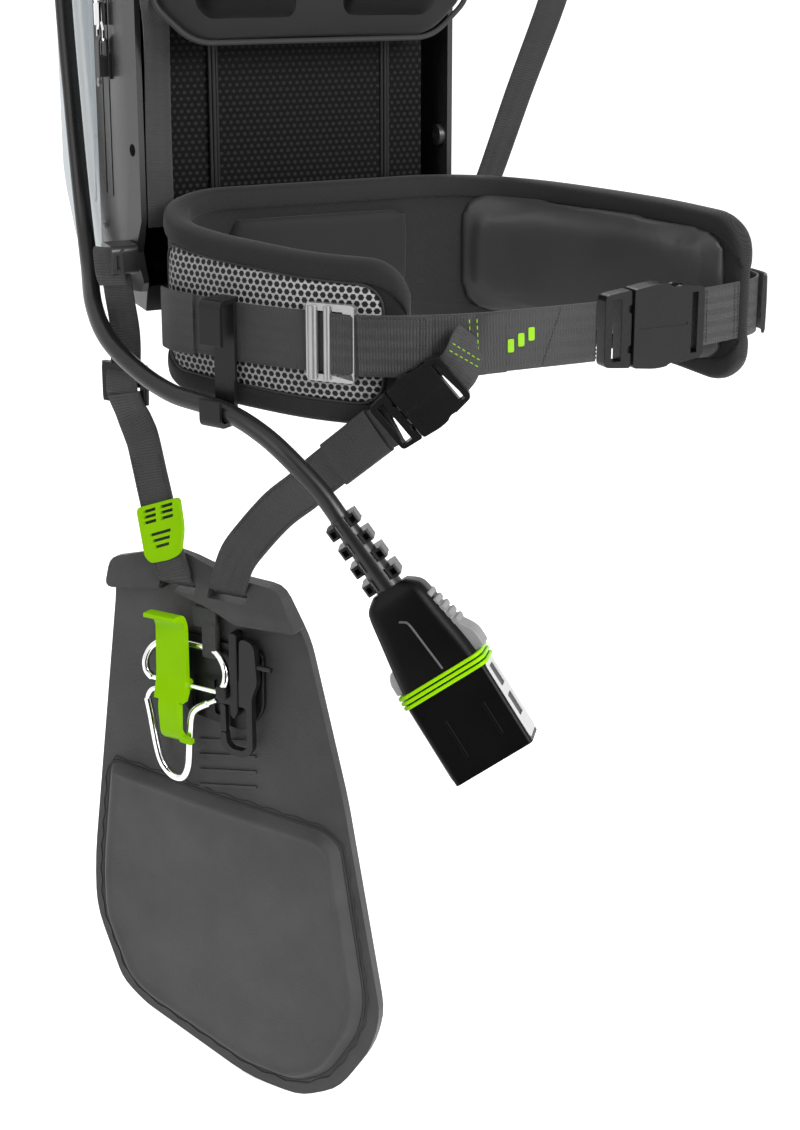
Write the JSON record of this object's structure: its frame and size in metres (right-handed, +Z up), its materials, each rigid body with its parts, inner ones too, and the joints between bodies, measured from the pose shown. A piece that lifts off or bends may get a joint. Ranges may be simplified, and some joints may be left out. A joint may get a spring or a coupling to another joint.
{
  "type": "backpack battery carrier",
  "caption": "Backpack battery carrier: framed battery casing, padded back and shoulder straps, hip belt with buckle, hanging hip pad with quick release hooks, and a power lead with plug.",
  "frame": {"origin": "midpoint of the shoulder rest, where the two padded straps bear", "axes": "+X to the wearer's left, +Y to the rear (away from the wearer), +Z up"},
  "size_m": [0.5438, 0.6197, 1.3041],
  "materials": {
    "moulded": "fine moulded grain",
    "rail": "satin powder coat",
    "casing": "soft gloss",
    "foam": "padded twill",
    "webbing": "woven, with sewn edges",
    "net": "open spacer mesh",
    "alloy": "cast, matt",
    "chrome": "bright plating",
    "lime": "gloss",
    "charcoal": "grained foam skin",
    "gunmetal": "satin black",
    "lead": "matt",
    "steel": "plated",
    "cells": "sleeved",
    "board": "solder mask",
    "lamp": "translucent"
  },
  "bodies": {
    "frame": {"left_rail": "rail", "right_rail": "rail", "spine_housing": "moulded", "back_plate": "moulded", "centre_panel": "moulded", "bottom_tray": "moulded", "top_bridge": "moulded", "carry_handle": "moulded", "battery_side_left": "casing", "battery_side_right": "casing", "battery_case": "moulded", "cell_pack": "cells", "control_board": "board", "charge_lamps": "lamp", "cable_gland": "lead", "frame_screws": "steel", "back_pad": "foam", "shoulder_pad_left": "foam", "shoulder_pad_right": "foam", "shoulder_webbing_left": "webbing", "shoulder_webbing_right": "webbing", "strap_adjusters": "moulded", "hip_belt": "foam", "belt_net_left": "net", "belt_net_right": "net", "lumbar_pad": "foam", "wing_pad_left": "foam", "wing_pad_right": "foam", "waist_webbing_rear": "webbing", "waist_webbing_front": "webbing", "waist_webbing_end": "webbing", "ladder_lock": "alloy", "waist_buckle_plug": "moulded", "waist_buckle_socket": "moulded", "cord_clip": "moulded", "stow_tab": "webbing", "stow_hook": "chrome", "pad_strap_rear": "webbing", "tri_glide": "moulded", "pad_strap_front": "webbing", "strap_buckle": "moulded", "power_cord": "lead", "strain_relief": "lead", "power_plug": "moulded"},
    "hip_pad": {"pad_plate": "charcoal", "pad_panel": "charcoal", "pad_webbing_rear": "webbing", "pad_webbing_front": "webbing", "pad_slide": "lime", "hook_bracket": "gunmetal", "tool_hook": "gunmetal"},
    "charge_button": {"charge_button": "moulded"},
    "waist_prong_upper": {"waist_prong_upper": "moulded"},
    "waist_prong_lower": {"waist_prong_lower": "moulded"},
    "strap_prong_upper": {"strap_prong_upper": "moulded"},
    "strap_prong_lower": {"strap_prong_lower": "moulded"},
    "release_lever": {"release_lever": "lime"},
    "wire_bail": {"wire_bail": "chrome"},
    "tool_gate": {"tool_gate": "gunmetal"},
    "stow_gate": {"stow_gate": "chrome"}
  },
  "joints": [
    {"name": "pad_swing", "type": "hinge", "parent": "frame", "child": "hip_pad", "pos_m": [-0.11355, -0.01477, -0.552], "axis": [0.5743, -0.8187, 0], "range_deg": [-4, 20]},
    {"name": "release_lever_tilt", "type": "hinge", "parent": "hip_pad", "child": "release_lever", "pos_m": [-0.1522, 0.00579, -0.804], "axis": [-0.6157, 0.788, 0], "range_deg": [0, 6], "stiffness_Nm_per_rad": 0.05},
    {"name": "wire_bail_swing", "type": "hinge", "parent": "hip_pad", "child": "wire_bail", "pos_m": [-0.1453, 0.00102, -0.814], "axis": [0.6157, -0.788, 0], "range_deg": [-1, 6]},
    {"name": "tool_gate_hinge", "type": "hinge", "parent": "hip_pad", "child": "tool_gate", "pos_m": [-0.1173, -0.02913, -0.819], "axis": [-0.788, -0.6157, 0], "range_deg": [0, 22], "stiffness_Nm_per_rad": 0.02},
    {"name": "stow_gate_hinge", "type": "hinge", "parent": "frame", "child": "stow_gate", "pos_m": [-0.1645, 0.1214, -0.2036], "axis": [-1, 0, 0], "range_deg": [0, 18], "stiffness_Nm_per_rad": 0.02},
    {"name": "charge_button_press", "type": "slide", "parent": "frame", "child": "charge_button", "axis": [0, 0, -1], "range_m": [0, 0.002], "stiffness_N_per_m": 400},
    {"name": "waist_prong_upper_flex", "type": "hinge", "parent": "frame", "child": "waist_prong_upper", "pos_m": [0.179, -0.20805, -0.447], "axis": [-0.0523, 0.9986, 0], "range_deg": [0, 6], "stiffness_Nm_per_rad": 0.3},
    {"name": "waist_prong_lower_flex", "type": "hinge", "parent": "frame", "child": "waist_prong_lower", "pos_m": [0.179, -0.20805, -0.481], "axis": [0.0523, -0.9986, 0], "range_deg": [0, 6], "stiffness_Nm_per_rad": 0.3},
    {"name": "strap_prong_upper_flex", "type": "hinge", "parent": "frame", "child": "strap_prong_upper", "pos_m": [-0.02448, -0.19378, -0.50854], "axis": [0.4226, 0.9063, 0], "range_deg": [0, 6], "stiffness_Nm_per_rad": 0.3},
    {"name": "strap_prong_lower_flex", "type": "hinge", "parent": "frame", "child": "strap_prong_lower", "pos_m": [-0.01052, -0.20029, -0.5273], "axis": [-0.4226, -0.9063, 0], "range_deg": [0, 6], "stiffness_Nm_per_rad": 0.3}
  ],
  "couplings": [
    {"joint": "waist_prong_lower_flex", "follows": "waist_prong_upper_flex", "ratio": 1},
    {"joint": "strap_prong_lower_flex", "follows": "strap_prong_upper_flex", "ratio": 1}
  ]
}
